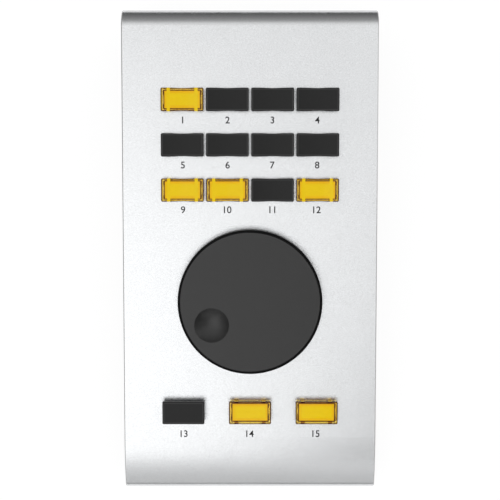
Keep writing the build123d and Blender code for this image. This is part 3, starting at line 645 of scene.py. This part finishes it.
# %% Feet
foot_low, foot_high = (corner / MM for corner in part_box("feet"))
foot_radius, foot_height, plug_radius = 6.0, 3.0, 1.48
foot_places = four_corners(foot_low, foot_high, foot_radius)
hollow_radius, hollow_depth, groove_depth = 3.5, 0.8, 0.18
hollow_round, lip_round, base_round, top_round = 0.3, 0.2, 0.6, 0.35
top_inset, plug_bevel = 0.1, 0.25


def groove(radius, half_width, height):
    """Radii and heights of a V-shaped groove that is cut up into a face at `height`."""
    radii = [radius - half_width, radius, radius + half_width]
    return radii, [height, height + groove_depth, height]


hollow_corner = hollow_radius - hollow_round, hollow_depth - hollow_round
top_corner = foot_radius - top_inset - top_round, foot_height - top_round
plug_top = foot_high[2]
foot_profile = [
    ([0.0], [hollow_depth]),
    groove(1.15, 0.15, hollow_depth),
    ([2.3], [hollow_depth]),
    rounded(*hollow_corner, hollow_round, 90, 0),
    rounded(hollow_radius + lip_round, lip_round, lip_round, 180, 270),
    groove(4.42, 0.12, 0.0),
    groove(5.02, 0.12, 0.0),
    rounded(foot_radius - base_round, base_round, base_round, -90, 0),
    rounded(*top_corner, top_round, 0, 90),
    ([plug_radius, plug_radius], [foot_height, plug_top - plug_bevel]),
    ([plug_radius - plug_bevel, 0.0], [plug_top, plug_top]),
]
foot_radii = [radius for radii, heights in foot_profile for radius in radii]
foot_heights = [height for radii, heights in foot_profile for height in heights]
turned(
    "rubber_feet", foot_radii, foot_heights, foot_places,
    (0, 0, 1), rubber, "case", "feet",
)

# %% [markdown]
# ## Tray screws
# Four low-domed screws with a hexagon socket hold the tray. A thread is a ridge that climbs by one
# pitch per turn, so at a height and an angle the ridge's height is a triangle wave of
# height / pitch + angle / a full turn.

# %% Screws
screw_low, screw_high = (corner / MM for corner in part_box("tray_screws"))
head_bottom, tip = screw_low[2], screw_high[2]
head_radius, head_height, face_radius, dome_height = 2.75, 1.6, 2.0, 0.9
screw_places = four_corners(screw_low, screw_high, head_radius)
socket_flats, socket_depth, socket_bevel = 1.73, 0.8, 0.12
shank_radius, thread_pitch, thread_depth = 1.48, 0.5, 0.25
neck_length, point_length = 0.1, 0.3

socket = hexagon(socket_flats)
dome = np.radians(np.linspace(8, 78, 6))
dome_radii = face_radius + (head_radius - face_radius) * np.sin(dome)
dome_heights = dome_height - dome_height * np.cos(dome)
head_radii = [0.0, socket, socket, socket + socket_bevel, face_radius, *dome_radii]
head_heights = [socket_depth, socket_depth, socket_bevel, 0.0, 0.0, *dome_heights]
head_radii += [head_radius, head_radius, shank_radius]
head_heights += [dome_height, head_height, head_height]

thread_start = head_bottom + head_height + neck_length
thread_heights = np.arange(thread_start, tip - point_length, thread_pitch / 6)
ridge = (thread_heights[:, None] / thread_pitch + turn_angles / (2 * pi)) % 1.0
thread_radii = shank_radius - thread_depth * np.abs(2 * ridge - 1)
screw_radii = [*head_radii, *thread_radii, shank_radius - thread_depth, 0.0]
screw_heights = [*(head_bottom + height for height in head_heights), *thread_heights, tip, tip]
turned(
    "domed_tray_screws", screw_radii, screw_heights, screw_places,
    (0, 0, 1), blackened, "case", "tray_screws",
)

# %% [markdown]
# ## Nut of the footswitch jack
# A thin hexagon nut is turned after it is cut, which bevels its corners. So a ring of the bevel is
# the hexagon wherever it lies inside a circle, and the circle where it doesn't.

# %% Nut
nickel = metal("nickel", grey(0.58, 0.03), grey(0.72, 0.03), 0.14)
nut_low, nut_high = (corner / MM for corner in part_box("jack_nut"))
nut_middle = (nut_low + nut_high) / 2
nut_places = [(nut_middle[0], 0.0, nut_middle[2])]
nut_flats, nut_bore, bore_bevel = 11.0, 4.62, 0.25
bevel_height, bevel_slope, bevel_inset = 0.55, 1.73, 0.05

nut_hexagon = hexagon(nut_flats, turn_angles + pi / 6)
rise = np.linspace(0, bevel_height, 4)
bevel_circles = nut_flats / 2 - bevel_inset + rise * bevel_slope
nut_radii = [nut_bore, *(np.minimum(nut_hexagon, circle) for circle in bevel_circles)]
nut_heights = [nut_low[1], *(nut_low[1] + rise)]
nut_radii += [*nut_radii[:0:-1], nut_bore + bore_bevel, nut_bore, nut_bore]
nut_heights += [*(nut_high[1] - rise[::-1]), nut_high[1], nut_high[1] - bore_bevel, nut_low[1]]
turned(
    "bevelled_nut", nut_radii, nut_heights, nut_places,
    (0, 1, 0), nickel, "case", "jack_nut",
)

# %% [markdown]
# ## Springs under the keys
# A return spring is one round wire wound into a helix, which climbs less at its two ends so that
# it stands square. A spring gets shorter when its key goes down, so each is a piece of its own.

# %% Springs
wire = metal("spring_wire", grey(0.5), grey(0.66), 0.18, 0.3)
spring_radius, wire_radius, spring_turns, key_travel = 2.0, 0.18, 2.5, 1.2
spring_foot, spring_free, ease = -9.6, 1.8, 0.6
wire_around, wire_steps = 10, 90


def coil_rings():
    """Wire rings (step, angle, xyz) in mm: a centre line on a helix, and round each of its points a
    circle that is square to it. The height is ease x (3 t^2 - 2 t^3) + (1 - ease) x t."""
    t = np.linspace(0, 1, wire_steps)
    turn = 2 * pi * spring_turns * t
    height = spring_foot + spring_free * (ease * (3 * t**2 - 2 * t**3) + (1 - ease) * t)
    centre = np.stack([spring_radius * np.cos(turn), spring_radius * np.sin(turn), height], axis=1)
    ahead = np.gradient(centre, axis=0)
    ahead /= np.linalg.norm(ahead, axis=1, keepdims=True)
    out = np.stack([np.cos(turn), np.sin(turn), 0 * turn], axis=1)
    out -= (out * ahead).sum(axis=1, keepdims=True) * ahead
    out /= np.linalg.norm(out, axis=1, keepdims=True)
    over = np.cross(ahead, out)
    angle = np.linspace(0, 2 * pi, wire_around, endpoint=False)[None, :, None]
    circle = np.cos(angle) * out[:, None] + np.sin(angle) * over[:, None]
    return centre[:, None] + wire_radius * circle


coil = coil_rings().reshape(-1, 3)
coil_faces = ring_faces(wire_steps, wire_around).tolist()
coil_faces += [list(range(wire_around))[::-1], list(range(len(coil) - wire_around, len(coil)))]
for number, (x, slope) in enumerate(key_spots, start=1):
    coil_mesh = bpy.data.meshes.new(f"key_spring_{number}")
    coil_mesh.from_pydata(on_panel(coil + (x, slope, 0)).tolist(), [], coil_faces)
    coil_mesh.materials.append(wire.material)
    coil_mesh.shade_smooth()
    coil_mesh.set_sharp_from_angle(angle=radians(50))
    spring = bpy.data.objects.new(f"key_spring_{number}", coil_mesh)
    bpy.context.scene.collection.objects.link(spring)
    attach(spring, "case")
    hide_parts("key_springs")
    anchor = on_panel((x, slope, spring_foot - wire_radius))
    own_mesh(spring)
print("springs:", len(key_spots), "each of", len(coil_faces), "faces")

# %% [markdown]
# ## Printed numbers
# The keys are numbered in dark ink on the panel, each number centred in front of its key. A text
# object in Blender is a curve. Each is made a mesh while it still lies flat at the origin, and
# its points are then moved to the panel with the same function as every other place. A small
# offset of the curve thickens the strokes, as ink that spreads a little does.

# %% Numbers
ink = Finish("grey_ink", {"Specular IOR Level": 0.3})
ink_wear = ink.grain(0.6, 3.0)
ink.paint(Base_Color=ink.mix(ink_wear, grey(0.012), grey(0.020)), Roughness=ink_wear * 0.1 + 0.5)
digit_height, digit_share, ink_spread = 2.95, 0.72, 0.05
ink_thickness, ink_lift = 0.02, 0.012
upper_drop, lower_drop = 8.5, 10.1
ink_points, ink_faces = [], []
for number, (x, slope) in enumerate(key_spots, start=1):
    writing = bpy.data.curves.new("number", "FONT")
    writing.body, writing.align_x, writing.align_y = str(number), "CENTER", "CENTER"
    writing.size, writing.offset = digit_height / digit_share, ink_spread
    writing.extrude = ink_thickness / 2
    lettering = bpy.data.objects.new("number", writing)
    flat = bpy.data.meshes.new_from_object(lettering)
    points = np.array([vertex.co for vertex in flat.vertices])
    points -= (points.min(axis=0) + points.max(axis=0)) / 2
    drop = lower_drop if slope == lower_row else upper_drop
    start = len(ink_points)
    ink_points += (points + (x, slope - drop, ink_lift)).tolist()
    ink_faces += [[start + corner for corner in face.vertices] for face in flat.polygons]
    bpy.data.objects.remove(lettering)
ink_mesh = bpy.data.meshes.new("key_numbers")
ink_mesh.from_pydata(on_panel(ink_points).tolist(), [], ink_faces)
ink_mesh.materials.append(ink.material)
key_numbers = bpy.data.objects.new("key_numbers", ink_mesh)
bpy.context.scene.collection.objects.link(key_numbers)
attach(key_numbers, "case")
print("numbers:", len(ink_faces), "faces")

# %% [markdown]
# ## Stage
# A plain pale floor under the object. Only what the camera, a mirror reflection or a clear cap
# sees of it is lifted to white: Light Path tells those rays apart. A small share of the real,
# lit floor stays in it, so that the object's shadow still shows. The same rays see the world as
# white, while it lights the object a little less.

# %% Floor and world
floor_mesh = bpy.data.meshes.new("floor")
floor_mesh.from_pydata([(-3, -3, 0), (3, -3, 0), (3, 3, 0), (-3, 3, 0)], [], [(0, 1, 2, 3)])
floor = bpy.data.objects.new("floor", floor_mesh)
bpy.context.scene.collection.objects.link(floor)


def seen(shading):
    """1 for rays that see the background: from the camera, off a gloss or through a clear cap."""
    kinds = ("Is Camera Ray", "Is Glossy Ray", "Is Transmission Ray")
    camera_ray, glossy, through = (shading.node("LightPath", {}, {}, kind) for kind in kinds)
    return (camera_ray + glossy + through) > 0.5


floor_glow, lifted_share, room_light = 1.06, 0.86, 0.9
floor_finish = Finish("floor_paper", {"Base Color": grey(0.8), "Roughness": 0.9})
lifted = floor_finish.node("Emission", {}, {"Color": grey(1.0), "Strength": floor_glow})
shown = seen(floor_finish) * lifted_share
sides = {0: shown, 1: Value(floor_finish, floor_finish.shader.outputs[0]), 2: lifted}
surface = floor_finish.node("MixShader", {}, sides)
floor_finish.feed(floor_finish.tree.nodes["Material Output"], {"Surface": surface})
floor_mesh.materials.append(floor_finish.material)

world = bpy.data.worlds.new("studio")
world.use_nodes = True
bpy.context.scene.world = world
sky = Shading(world.node_tree)
strength = seen(sky) * (1.0 - room_light) + room_light
sky.feed(world.node_tree.nodes["Background"], {"Color": grey(1.0), "Strength": strength})
print("floor and world: room light", room_light)

# %% [markdown]
# ## Lamps and flags
# Two softboxes hang in front of the object and a little to its left. Their places are a tilt to
# the front and a tilt to the left from straight above, in degrees.
#
# A bright table all round would leave a silver bend without an edge, so a photographer stands
# cards, called flags, just out of the picture. The metal mirrors them. Their dark feet show in the
# bends and along the edges, and their pale tops in the panel, where they draw slow changes of
# tone. They belong to the stage. Neither the camera nor a matt surface sees them, and they throw
# no shadow.

# %% Lamps and flags


def softbox(name, front, left, size, power, distance=1.25):
    """A square area lamp that looks at the object from `front` and `left` degrees off vertical."""
    front, left = radians(front), radians(left)
    away = Vector((-sin(left), -sin(front) * cos(left), cos(front) * cos(left)))
    lamp = bpy.data.objects.new(name, bpy.data.lights.new(name, "AREA"))
    lamp.data.size, lamp.data.energy = size, power
    lamp.matrix_world = (
        Matrix.Translation(away * distance) @ away.to_track_quat("Z", "Y").to_matrix().to_4x4()
    )
    bpy.context.scene.collection.objects.link(lamp)
    print(name, "at", [round(part * distance, 3) for part in away], "m")


def flag(name, start, end, height, foot_shade, top_shade):
    """A card that stands on the floor between two places (x, y), in metres. Its shade goes evenly
    from foot_shade to top_shade."""
    feet_line, top_line = [(*end, 0), (*start, 0)], [(*start, height), (*end, height)]
    card_mesh = bpy.data.meshes.new(name)
    card_mesh.from_pydata(feet_line + top_line, [], [(0, 1, 2, 3)])
    paper = Finish(name, {"Roughness": 1.0})
    rise = paper.axis("Z") * (MM / height)
    paper.paint(Base_Color=paper.mix(rise, grey(foot_shade), grey(top_shade)))
    card_mesh.materials.append(paper.material)
    card = bpy.data.objects.new(name, card_mesh)
    bpy.context.scene.collection.objects.link(card)
    card.visible_camera = card.visible_diffuse = card.visible_shadow = False


softbox("key_softbox", 25, 15, 1.0, 1.6)
softbox("front_softbox", 60, 10, 0.8, 0.8)
flag("rear_flag", (-0.5, 0.2), (0.5, 0.2), 0.42, 0.0, 0.8)
flag("front_flag", (-0.6, -0.35), (0.6, -0.35), 0.33, 0.3, 1.15)
flag("left_flag", (-0.3, -0.35), (-0.3, 0.25), 0.42, 0.0, 0.8)
flag("right_flag", (0.35, -0.7), (0.35, 0.0), 0.9, 0.1, 0.95)
flag("corner_flag", (0.05, -0.5), (0.45, -0.1), 1.2, 0.1, 0.87)

# %% [markdown]
# ## Finishing
# The Standard view shows a colour about as it is written.

# %% Picture settings
bpy.context.scene.view_settings.view_transform = "Standard"
